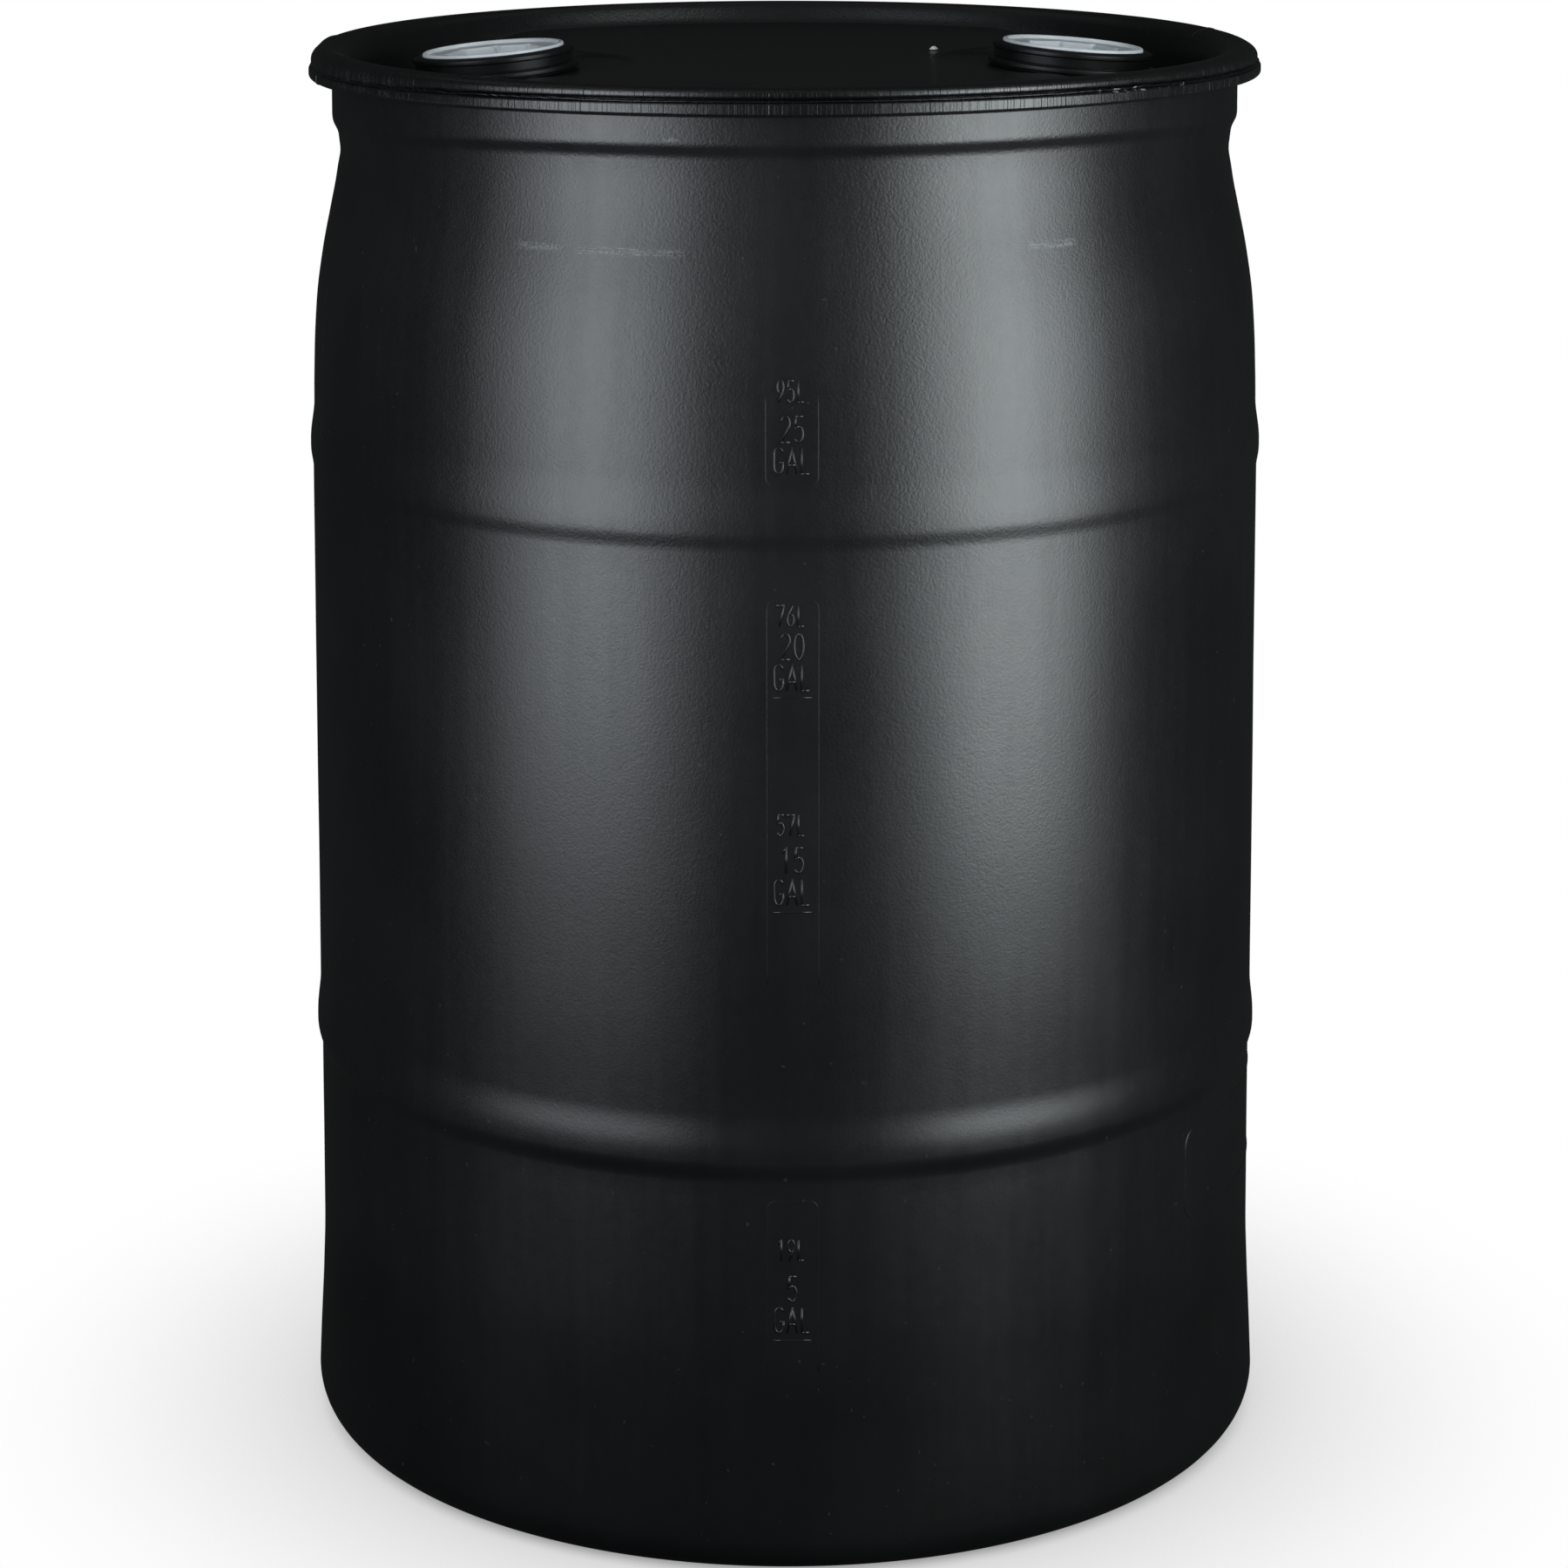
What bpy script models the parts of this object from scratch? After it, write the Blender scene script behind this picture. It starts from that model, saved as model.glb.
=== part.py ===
"""Closed-head polyethylene drum, about 30 US gallons, with two screwed bungs.

Frame: metres, +Z up, origin at the centre of the base on the floor.
The two bungs lie on the X axis: the buttress-thread bung on -X, the
pipe-thread bung on +X.  Threads are not modelled.

The shell is one piece with a lifting rim around its head.  Two neck inserts
are keyed into the head, and each neck takes a gasket and a plug.
Dimensions are in millimetres; the helpers turn them into metres.
"""
import math
from collections import namedtuple

import bmesh
import bpy
from mathutils import Matrix, Vector

MM = 0.001
WALL = 4.0               # wall thickness of the shell
GAP = 0.3                # clearance between touching pieces
SHELL_STEPS = 56         # facets around the shell
BUNG_STEPS = 36          # facets around necks, gaskets and plugs
CUTTER_STEPS = 48        # facets around the well cutters

# ---------------------------------------------------------------- head and rim
TOTAL_H = 715.0          # floor to rim crown
PANEL_Z = 703.5          # edge of the raised centre panel
PANEL_CROWN = 0.6        # rise of the panel at its centre
PANEL_R = 221.5          # where the panel meets the inside of the rim
CROWN_R_IN = 227.5       # inner edge of the rim's flat top
ROLL_R = 241.6           # outside of the upper roll
FLASH_Z = 709.2          # moulding line between the roll and the band
FLASH_DROP = 1.0         # fall of the ledge at the moulding line
RIM_R = 245.2            # outer radius of the lifting rim
BAND_Z = 702.6           # bottom edge of the rim's band
BAND_DROP = 0.8          # fall of the band's underside towards the neck
NECK_R = 233.4           # cylindrical band under the rim
NECK_Z = 687.5           # lower edge of that band

# ------------------------------------------------------------------- side wall
WAIST_R, WAIST_Z = 230.4, 681.5
# shoulder stations, downwards: (radius, height)
SHOULDER = [(229.3, 669.0), (231.0, 650.0), (234.6, 631.0),
            (238.6, 611.0), (242.3, 584.0), (243.8, 557.0)]
BELLY_R = 245.0          # wall just under the upper hoop
LOWER_R = 243.9          # wall just under the lower hoop
FOOT_R = 247.3           # widest radius, just above the base
# stations from the lower hoop to the foot, downwards: (radius, height)
LOWER_WALL = [(LOWER_R, 150.0), (LOWER_R + 0.1, 92.0),
              (LOWER_R + 1.2, 63.0), (FOOT_R - 0.8, 35.0)]

# rolling hoops: crest height, then radii at the crest, above it and below it
Hoop = namedtuple("Hoop", "z crest above below")
HOOPS = [Hoop(509.0, 246.3, 244.3, BELLY_R), Hoop(204.5, 246.3, 244.7, LOWER_R)]
HOOP_UP = 21.0           # height of the slope above a crest
HOOP_DOWN = 11.0         # height of the slope below it
HOOP_HALF_FLAT = 1.5     # half the height of the flat crest
HOOP_CUTS = 2            # segments in each slope

# ------------------------------------------------------------------------ base
FOOT_CORNER_R = 12.0     # radial size of the base corner
FOOT_CORNER_H = 16.0     # its vertical size
RING_R_IN = 219.0        # inner edge of the flat ring the drum stands on
RECESS_H = 9.0           # height of the recessed bottom above the floor
RECESS_RUN = 9.0         # radial run of the slope up to the recess
RECESS_CROWN = 1.0       # rise of the recess at its centre

# ---------------------------------------------------------------- liquid space
CAVITY_TOP_INSET = 6.0   # its top edge, inside PANEL_R
CAVITY_NECK_DROP = 16.0  # its upper corner, below the panel
CAVITY_LOWER_Z = 80.0    # foot of its lower cylinder
CAVITY_RING_INSET = 1.0  # its ring edge, inside RING_R_IN
CAVITY_RECESS_RUN = 10.0

# --------------------------------------------------------------- bungs
# side: sign of X; sleeve: radius of the plug's skirt
Bung = namedtuple("Bung", "side sleeve")
BUNGS = {"buttress": Bung(-1.0, 27.4), "pipe": Bung(1.0, 29.3)}
BORE_GAP = 0.4           # neck bore radius over the plug's sleeve radius
TILT = math.radians(4.7)  # both axes lean outwards
BUNG_X = 149.4           # seat centre from the drum's axis
BUNG_Z = 697.8           # seat centre height

# Heights from here on are along a bung's axis, from the head's tilted seat.
NECK_HOLE_R = 34.3
NECK_HOLE_SPAN = (-40.0, 30.0)

# wells in the head
WELL_GROWTH = WALL + 0.2  # enlargement of the wells cut from the liquid space
SEAT_R = 70.0            # radius of the seat's basin
BASIN_H = 14.0           # height and flare of the basin's conical side
BOSS_R = 50.0            # radius, at seat height, of the boss in the crescent well
BOSS_BOTTOM, BOSS_FLARE = -25.0, 20.0   # lower end, and its radius over BOSS_R
BOSS_TOP, BOSS_TAPER = 30.0, 24.0       # upper end, and its radius under BOSS_R
TRENCH_X = 134.0         # where the outer crescent well starts
TRENCH_SLOPE = math.radians(14.0)       # fall of its floor towards the rim
TRENCH_DROP = 1.03       # drop of its floor per millimetre of growth
TRENCH_BACK = 5.0        # reach of its cutter towards the drum's axis
TRENCH_BACK_GROWN = 18.0  # the same when grown
TRENCH_SIZE = (130.0, 240.0, 60.0)      # outward reach, half width, height
BOUND_INSET = 3.1        # outer limit of the wells, inside PANEL_R
BOUND_GROWTH = 1.7       # its radial change per millimetre of growth
BOUND_SPAN = (640.0, 760.0)             # heights above the floor

# gasket seat and neck
COUNTERBORE_R = 37.1
SEAL_SEAT = 8.7          # height of the gasket seat in the collar
COLLAR_TOP = 12.7        # inner edge of the collar's mouth
MOUTH_W = 1.6            # flat width of the mouth
COLLAR_LIP = 11.5        # outer edge of the mouth
COLLAR_LIP_R = 41.5
LIP_H = 1.6              # height of the lip's side
COLLAR_R = 40.6
COLLAR_BEVEL = 0.4       # height of the bevels under the lip and on the base ring
COLLAR_BASE_R = 43.6
BASE_RING_TOP, BASE_RING_BOTTOM = 4.4, 2.0
COLLAR_STEP_R = 42.0     # foot of the collar, under its base ring
INSERT_R = NECK_HOLE_R - GAP
INSERT_END_R = NECK_HOLE_R - 0.8
INSERT_BOTTOM = -16.0
LOCK_R = 40.0            # flange under the head's wall
LOCK_TOP = -WALL - 2 * GAP
LOCK_BOTTOM = -WALL - 3.4     # at its outer edge
LOCK_ROOT = LOCK_BOTTOM - 1.0  # underside at the insert

# plug and gasket
PLUG_TOP = 14.2
PLUG_UNDER = PLUG_TOP - 3.6   # underside of the flange
PLUG_FLANGE_R = 36.4
PLUG_RIM_W = 2.4         # rim around the dish
PLUG_DISH = 1.5          # depth of the dish in the plug's top
DISH_BEVEL = 0.4         # radial run of the dish's side
FLANGE_BEVEL = (0.6, 0.8)     # radial and vertical size at the flange's top edge
PLUG_BOTTOM = -10.3
SKIRT_BEVEL = 1.2
SKIN = 3.0               # thickness of the plug's diaphragm and skirt
POCKET_SIDES = 8
POCKET_AF = 45.0         # across flats of the wrench pocket
POCKET_FLOOR = 3.7
POCKET_OVERCUT = 5.0     # cutter height above the plug
SEAL_INSET = 0.8         # gasket's outer edge, inside the flange
SEAL_BORE_GAP = 1.4      # gasket's inner edge, outside the neck bore


# ----------------------------------------------------------- scene and helpers
for old in list(bpy.data.objects):
    bpy.data.objects.remove(old, do_unlink=True)


def collection(name):
    coll = bpy.data.collections.new(name)
    bpy.context.scene.collection.children.link(coll)
    return coll


parts = collection("plastic_drum")
cutters = collection("cutters")


def material(name, colour, roughness):
    mat = bpy.data.materials.new(name)
    mat.use_nodes = True
    bsdf = mat.node_tree.nodes["Principled BSDF"]
    bsdf.inputs["Base Color"].default_value = (*colour, 1.0)
    bsdf.inputs["Roughness"].default_value = roughness
    return mat


def link(name, data, coll, parent=None, mat=None):
    obj = bpy.data.objects.new(name, data)
    coll.objects.link(obj)
    obj.parent = parent
    if mat is not None:
        data.materials.append(mat)
    return obj


def frame(name, coll, x, z, tilt):
    """An empty in the XZ plane, turned about Y."""
    empty = link(name, None, coll)
    empty.location = (x * MM, 0.0, z * MM)
    empty.rotation_euler = (0.0, tilt, 0.0)
    return empty


def turned(name, profile, steps, coll, parent=None, mat=None, ring=False):
    """A profile of (radius, height) turned about local Z; ring closes the profile."""
    mesh = bpy.data.meshes.new(name)
    verts = [(r * MM, 0.0, z * MM) for r, z in profile]
    edges = [(i, i + 1) for i in range(len(verts) - 1)]
    if ring:
        edges.append((len(verts) - 1, 0))
    mesh.from_pydata(verts, edges, [])
    obj = link(name, mesh, coll, parent, mat)
    screw = obj.modifiers.new("turn", 'SCREW')
    screw.axis = 'Z'
    screw.angle = 2 * math.pi
    screw.steps = steps
    screw.render_steps = steps
    screw.use_merge_vertices = True
    screw.merge_threshold = 0.00001
    screw.use_smooth_shade = True
    return obj


def as_cutter(obj):
    obj.hide_render = True
    obj.display_type = 'WIRE'
    return obj


def mesh_cutter(name, bm, parent):
    mesh = bpy.data.meshes.new(name)
    bm.to_mesh(mesh)
    bm.free()
    return as_cutter(link(name, mesh, cutters, parent))


def cylinder(name, radius, z0, z1, parent=None, steps=CUTTER_STEPS, top_radius=None, turn=0.0):
    """A closed cylinder or cone frustum along local Z."""
    if top_radius is None:
        top_radius = radius
    placing = (Matrix.Translation((0, 0, (z0 + z1) / 2 * MM))
               @ Matrix.Rotation(turn, 4, 'Z'))
    bm = bmesh.new()
    bmesh.ops.create_cone(bm, cap_ends=True, segments=steps, radius1=radius * MM,
                          radius2=top_radius * MM, depth=(z1 - z0) * MM, matrix=placing)
    return mesh_cutter(name, bm, parent)


def block(name, low, high, parent):
    """A closed box between two corners."""
    bm = bmesh.new()
    bmesh.ops.create_cube(bm, size=1.0)
    for v in bm.verts:
        v.co = Vector([(low[i] + (v.co[i] + 0.5) * (high[i] - low[i])) * MM for i in range(3)])
    return mesh_cutter(name, bm, parent)


def boolean(obj, cutter, operation='DIFFERENCE'):
    mod = obj.modifiers.new(operation.lower(), 'BOOLEAN')
    mod.operation = operation
    mod.solver = 'EXACT'
    mod.object = cutter


def fillet(corners, segments=2):
    """Round an open polyline of (x, y, corner radius) with circular arcs.

    The two ends stay.  A radius under 2 mm gets a single chamfer.
    """
    points = [Vector(corner[:2]) for corner in corners]
    out = [tuple(points[0])]
    for i in range(1, len(points) - 1):
        corner, radius = points[i], corners[i][2]
        if radius <= 0:
            out.append(tuple(corner))
            continue
        back = (points[i - 1] - corner).normalized()
        ahead = (points[i + 1] - corner).normalized()
        half = back.angle(ahead) / 2
        reach = radius / math.tan(half)
        centre = corner + (back + ahead).normalized() * (radius / math.sin(half))
        start = corner + back * reach - centre
        end = corner + ahead * reach - centre
        sweep = math.atan2(start.x * end.y - start.y * end.x, start.dot(end))
        cuts = 1 if radius < 2.0 else segments
        for k in range(cuts + 1):
            cos, sin = math.cos(sweep * k / cuts), math.sin(sweep * k / cuts)
            out.append((centre.x + start.x * cos - start.y * sin,
                        centre.y + start.x * sin + start.y * cos))
    out.append(tuple(points[-1]))
    return out


# -------------------------------------------------------------- shell profiles
def hoop_profile(hoop):
    """Points over one rolling hoop, from above it to below it."""
    steps = [k / HOOP_CUTS for k in range(HOOP_CUTS + 1)]
    eased = [(t, (1 - math.cos(math.pi * t)) / 2) for t in steps]
    above = [(hoop.above + (hoop.crest - hoop.above) * ease,
              hoop.z + HOOP_UP * (1 - t) + HOOP_HALF_FLAT) for t, ease in eased]
    below = [(hoop.crest + (hoop.below - hoop.crest) * ease,
              hoop.z - HOOP_HALF_FLAT - HOOP_DOWN * t) for t, ease in eased]
    return above + below


def foot_corner(inset, segments):
    """The elliptical corner between the side wall and the standing ring."""
    pts = []
    for k in range(segments + 1):
        t = math.pi / 2 * k / segments
        pts.append((FOOT_R - FOOT_CORNER_R + (FOOT_CORNER_R - inset) * math.cos(t),
                    FOOT_CORNER_H - (FOOT_CORNER_H - inset) * math.sin(t)))
    return pts


def outer_profile():
    # radius, height, corner radius
    head = fillet([
        (0.0, PANEL_Z + PANEL_CROWN, 0),
        (PANEL_R, PANEL_Z, 3.0),
        (CROWN_R_IN, TOTAL_H, 3.5),
        (ROLL_R, TOTAL_H, 4.6),
        (ROLL_R, FLASH_Z, 0),
        (RIM_R, FLASH_Z - FLASH_DROP, 1.4),
        (RIM_R, BAND_Z, 1.2),
        (NECK_R, BAND_Z - BAND_DROP, 1.2),
        (NECK_R, NECK_Z, 0),
        (WAIST_R, WAIST_Z, 0)])
    side = SHOULDER + [point for hoop in HOOPS for point in hoop_profile(hoop)] + LOWER_WALL
    base = foot_corner(inset=0.0, segments=3)
    base += [(RING_R_IN, 0.0), (RING_R_IN - RECESS_RUN, RECESS_H),
             (0.0, RECESS_H + RECESS_CROWN)]
    return head + side + base


def inner_profile():
    top = [(0.0, PANEL_Z + PANEL_CROWN - WALL), (PANEL_R - CAVITY_TOP_INSET, PANEL_Z - WALL),
           (NECK_R - 2 * WALL, PANEL_Z - CAVITY_NECK_DROP),
           (SHOULDER[0][0] - WALL, SHOULDER[0][1])]
    side = [(r - WALL, z) for r, z in SHOULDER[2:]]
    for hoop in HOOPS:
        side += [(hoop.above - WALL, hoop.z + HOOP_UP), (hoop.crest - WALL, hoop.z),
                 (hoop.below - WALL, hoop.z - HOOP_DOWN)]
    side.append((LOWER_R - WALL, CAVITY_LOWER_Z))
    ring_r = RING_R_IN - CAVITY_RING_INSET
    base = foot_corner(inset=WALL, segments=2)
    base += [(ring_r, WALL), (ring_r - CAVITY_RECESS_RUN, RECESS_H + WALL),
             (0.0, RECESS_H + WALL + RECESS_CROWN)]
    return top + side + base


# ----------------------------------------------------------------------- shell
def well_cutter(key, side, axis, grow):
    """Basin and crescent well of one bung, enlarged by grow millimetres."""
    name = key + ("_inner" if grow else "")
    bound = cylinder(name + "_bound", PANEL_R - BOUND_INSET + BOUND_GROWTH * grow,
                     *BOUND_SPAN, steps=SHELL_STEPS)
    basin = cylinder(name + "_basin", SEAT_R + grow, -grow, BASIN_H, axis,
                     top_radius=SEAT_R + BASIN_H + grow)
    slope = frame(name + "_slope", cutters, side * TRENCH_X, PANEL_Z - grow * TRENCH_DROP,
                  side * TRENCH_SLOPE)
    reach, half_width, height = TRENCH_SIZE
    back = TRENCH_BACK_GROWN if grow else TRENCH_BACK
    low_x, high_x = sorted((-side * back, side * reach))
    well = block(name + "_trench", (low_x, -half_width, 0.0), (high_x, half_width, height), slope)
    boss = cylinder(name + "_boss", BOSS_R - grow + BOSS_FLARE, BOSS_BOTTOM - grow,
                    BOSS_TOP - grow, axis, top_radius=BOSS_R - grow - BOSS_TAPER)
    boolean(well, boss)
    boolean(well, basin, 'UNION')
    boolean(well, bound, 'INTERSECT')
    return well


def cut_wells(obj, axes, grow):
    for key, bung in BUNGS.items():
        boolean(obj, well_cutter(key, bung.side, axes[key], grow))


def build_shell(axes, mat):
    drum = turned("drum_body", outer_profile(), SHELL_STEPS, parts, mat=mat)
    cavity = as_cutter(turned("liquid_space", inner_profile(), SHELL_STEPS, cutters))
    cut_wells(cavity, axes, WELL_GROWTH)
    cut_wells(drum, axes, 0.0)
    boolean(drum, cavity)
    for key, axis in axes.items():
        boolean(drum, cylinder(key + "_neck_hole", NECK_HOLE_R, *NECK_HOLE_SPAN, axis,
                               steps=BUNG_STEPS))


# -------------------------------------------------------- necks, gaskets, plugs
def neck_profile(bore):
    """Closed section of a neck keyed through the head's wall."""
    mouth = [(COUNTERBORE_R, COLLAR_TOP), (COUNTERBORE_R + MOUTH_W, COLLAR_TOP),
             (COLLAR_LIP_R, COLLAR_LIP), (COLLAR_LIP_R, COLLAR_LIP - LIP_H)]
    collar = [(COLLAR_R, COLLAR_LIP - LIP_H - COLLAR_BEVEL),
              (COLLAR_R, BASE_RING_TOP + COLLAR_BEVEL),
              (COLLAR_BASE_R, BASE_RING_TOP), (COLLAR_BASE_R, BASE_RING_BOTTOM),
              (COLLAR_STEP_R, BASE_RING_BOTTOM - COLLAR_BEVEL), (COLLAR_STEP_R, GAP)]
    insert = [(INSERT_R, GAP), (INSERT_R, LOCK_TOP), (LOCK_R, LOCK_TOP),
              (LOCK_R, LOCK_BOTTOM), (INSERT_R, LOCK_ROOT), (INSERT_END_R, INSERT_BOTTOM)]
    inside = [(bore, INSERT_BOTTOM), (bore, SEAL_SEAT), (COUNTERBORE_R, SEAL_SEAT)]
    return mouth + collar + insert + inside


def gasket_profile(bore):
    low, high = SEAL_SEAT + GAP, PLUG_UNDER - GAP
    inner, outer = bore + SEAL_BORE_GAP, PLUG_FLANGE_R - SEAL_INSET
    return [(inner, high), (outer, high), (outer, low), (inner, low)]


def plug_profile(sleeve):
    """Section of a plug: dished flange on top, skirt open underneath."""
    dish_r, dish_z = PLUG_FLANGE_R - PLUG_RIM_W, PLUG_TOP - PLUG_DISH
    bevel_r, bevel_z = FLANGE_BEVEL
    flange = [(0.0, dish_z), (dish_r - DISH_BEVEL, dish_z), (dish_r, PLUG_TOP),
              (PLUG_FLANGE_R - bevel_r, PLUG_TOP), (PLUG_FLANGE_R, PLUG_TOP - bevel_z),
              (PLUG_FLANGE_R, PLUG_UNDER)]
    skirt = [(sleeve, PLUG_UNDER), (sleeve, PLUG_BOTTOM + SKIRT_BEVEL),
             (sleeve - SKIRT_BEVEL, PLUG_BOTTOM), (sleeve - SKIN, PLUG_BOTTOM)]
    diaphragm = [(sleeve - SKIN, POCKET_FLOOR - SKIN), (0.0, POCKET_FLOOR - SKIN)]
    return flange + skirt + diaphragm


def build_plug(key, sleeve, axis, mat):
    plug = turned(key + "_plug", plug_profile(sleeve), BUNG_STEPS, parts, axis, mat)
    half_facet = math.pi / POCKET_SIDES
    pocket = cylinder(key + "_pocket", POCKET_AF / 2 / math.cos(half_facet), POCKET_FLOOR,
                      PLUG_TOP + POCKET_OVERCUT, axis, steps=POCKET_SIDES, turn=half_facet)
    boolean(plug, pocket)


# -------------------------------------------------------------------- assembly
def build():
    shell_mat = material("black_polyethylene", colour=(0.018, 0.019, 0.020), roughness=0.42)
    neck_mat = material("black_neck", colour=(0.012, 0.012, 0.013), roughness=0.34)
    plug_mat = material("white_plug", colour=(0.72, 0.74, 0.76), roughness=0.38)
    gasket_mat = material("white_foam_seal", colour=(0.62, 0.63, 0.63), roughness=0.7)

    axes = {key: frame(key + "_axis", parts, bung.side * BUNG_X, BUNG_Z, bung.side * TILT)
            for key, bung in BUNGS.items()}
    build_shell(axes, shell_mat)
    for key, bung in BUNGS.items():
        axis, bore = axes[key], bung.sleeve + BORE_GAP
        turned(key + "_neck", neck_profile(bore), BUNG_STEPS, parts, axis, neck_mat, ring=True)
        turned(key + "_gasket", gasket_profile(bore), BUNG_STEPS, parts, axis, gasket_mat,
               ring=True)
        build_plug(key, bung.sleeve, axis, plug_mat)


build()
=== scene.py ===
import math

import bpy
import numpy as np
from mathutils import Matrix, Vector


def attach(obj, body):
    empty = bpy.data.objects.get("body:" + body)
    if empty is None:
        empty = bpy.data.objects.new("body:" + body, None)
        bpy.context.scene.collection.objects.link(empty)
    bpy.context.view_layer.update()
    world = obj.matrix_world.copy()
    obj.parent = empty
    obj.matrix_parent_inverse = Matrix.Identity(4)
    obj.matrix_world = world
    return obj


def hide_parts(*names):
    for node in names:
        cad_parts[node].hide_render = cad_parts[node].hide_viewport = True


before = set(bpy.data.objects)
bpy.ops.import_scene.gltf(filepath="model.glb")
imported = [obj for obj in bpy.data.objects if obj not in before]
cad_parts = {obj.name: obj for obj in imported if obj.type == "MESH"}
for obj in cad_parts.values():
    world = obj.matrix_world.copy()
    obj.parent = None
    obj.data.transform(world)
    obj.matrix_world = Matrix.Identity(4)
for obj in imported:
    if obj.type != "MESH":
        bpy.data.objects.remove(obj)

MM = 0.001
TAU = 2.0 * math.pi
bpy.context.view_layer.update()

# ============================================================ dimensions, mm
# They are those of the imported frame.
TOTAL_H, RIM_R, WALL = 715.0, 245.2, 4.0
PANEL_Z, PANEL_R, CROWN_R_IN = 703.5, 221.5, 227.5
ROLL_R, BAND_Z, NECK_R, NECK_Z = 241.6, 702.6, 233.4, 687.5
WAIST = (230.4, 681.5)
SHOULDER = [(229.3, 669.0), (231.0, 650.0), (234.6, 631.0), (238.6, 611.0),
            (242.3, 584.0), (243.8, 557.0)]
BELLY_R, LOWER_R, FOOT_R = 245.0, 243.9, 247.3
HOOPS = [(509.0, 246.3, 244.3, 245.0), (204.5, 246.3, 244.7, 243.9)]
HOOP_UP, HOOP_DOWN = 21.0, 11.0
RING_R_IN, RECESS_H = 219.0, 9.0
TILT = math.radians(4.7)
BUNG_X, BUNG_Z = 149.4, 697.8
NECK_HOLE_R = 34.3
SIDES = {"buttress": -1.0, "pipe": 1.0}
# name: pitch, neck crest, neck root, plug root, plug crest, skirt bore
THREADS = {"buttress": (5.08, 26.9, 28.8, 26.6, 28.5, 24.4),
           "pipe": (25.4 / 11.5, 28.9, 30.3, 28.6, 30.0, 26.3)}
SCALE_AZ = math.radians(-93.2)   # middle of the volume scale
PART_AZ = (math.radians(12.3), math.radians(192.3))   # mould parting line


# =============================================================== small maths
def smooth(a, b, x):
    t = np.clip((np.asarray(x, float) - a) / (b - a), 0.0, 1.0)
    return t * t * (3.0 - 2.0 * t)


def smin(a, b, k):
    h = np.clip(0.5 + 0.5 * (b - a) / k, 0.0, 1.0)
    return b + (a - b) * h - k * h * (1.0 - h)


def smax(a, b, k):
    return -smin(-a, -b, k)


def wobble(x, seed, octaves=4, base=1.0, gain=0.6):
    """Smooth seeded noise on one or more arrays of phase, about -1 to 1."""
    rng = np.random.RandomState(seed)
    out, amp, total = 0.0, 1.0, 0.0
    for k in range(octaves):
        f = base * (1.9 ** k)
        out = out + amp * np.sin(x * f + rng.uniform(0, TAU)) * np.sin(
            x * f * 0.618 + rng.uniform(0, TAU))
        total += amp
        amp *= gain
    return out / total * 1.6


def ring_noise(phi, seed, count, rough=0.0):
    """Seeded noise that closes round a circle: count cells, 0 to 1."""
    rng = np.random.RandomState(seed)
    cells = rng.rand(count)
    u = (phi / TAU % 1.0) * count
    i = np.floor(u).astype(int) % count
    f = u - np.floor(u)
    f = f * f * (3 - 2 * f)
    out = cells[i] * (1 - f) + cells[(i + 1) % count] * f
    return out


def fillet(points, radii, segments=4):
    """Round the corners of an open polyline with circular arcs."""
    out = [points[0]]
    for i in range(1, len(points) - 1):
        p, r = Vector(points[i]), radii[i]
        if r <= 0:
            out.append(tuple(p))
            continue
        a = (Vector(points[i - 1]) - p).normalized()
        b = (Vector(points[i + 1]) - p).normalized()
        half = a.angle(b) / 2
        reach = r / math.tan(half)
        centre = p + (a + b).normalized() * (r / math.sin(half))
        s, e = p + a * reach - centre, p + b * reach - centre
        turn = math.atan2(s.x * e.y - s.y * e.x, s.dot(e))
        for k in range(segments + 1):
            t = turn * k / segments
            c, n = math.cos(t), math.sin(t)
            out.append((centre.x + s.x * c - s.y * n, centre.y + s.x * n + s.y * c))
    out.append(points[-1])
    return out


# ============================================================= mesh builders
def new_object(name, verts, faces, shade=True):
    mesh = bpy.data.meshes.new(name)
    mesh.from_pydata((np.asarray(verts, float) * MM).tolist(), [], faces)
    mesh.validate()
    mesh.update()
    if shade:
        mesh.polygons.foreach_set("use_smooth", np.ones(len(mesh.polygons), bool))
    obj = bpy.data.objects.new(name, mesh)
    bpy.context.scene.collection.objects.link(obj)
    return obj


def loft(rings, first="open", last="open", loop=False, flip=False, offset=0):
    """Quads through rings of (n, 3) points; 'fan' closes an end on its mean point."""
    rings = [np.asarray(r, float) for r in rings]
    n, m = len(rings[0]), len(rings)
    verts = np.concatenate(rings)
    j = np.arange(n)
    k = (j + 1) % n
    quads = []
    for i in range(m if loop else m - 1):
        a, b = i * n, ((i + 1) % m) * n
        quads.append(np.stack([a + j, b + j, b + k, a + k], 1))
    quads = np.concatenate(quads)
    faces = [tuple(q) for q in (quads[:, ::-1] if flip else quads).tolist()]
    if first == "fan":
        verts = np.concatenate([verts, rings[0].mean(0, keepdims=True)])
        c = len(verts) - 1
        tri = [(c, int(a), int(b)) for a, b in zip(j, k)]
        faces += [t[::-1] for t in tri] if flip else tri
    if last == "fan":
        verts = np.concatenate([verts, rings[-1].mean(0, keepdims=True)])
        c, o = len(verts) - 1, (m - 1) * n
        tri = [(c, o + int(b), o + int(a)) for a, b in zip(j, k)]
        faces += [t[::-1] for t in tri] if flip else tri
    if offset:
        faces = [tuple(v + offset for v in f) for f in faces]
    return verts, faces


def rings_of(profile, phi):
    """Rings for (radius, height) pairs; either may be an array over phi."""
    out = []
    for r, z in profile:
        r = np.broadcast_to(np.asarray(r, float), phi.shape)
        z = np.broadcast_to(np.asarray(z, float), phi.shape)
        out.append(np.stack([r * np.cos(phi), r * np.sin(phi), z], 1))
    return out


def circle(n):
    return np.arange(n) * TAU / n


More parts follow.
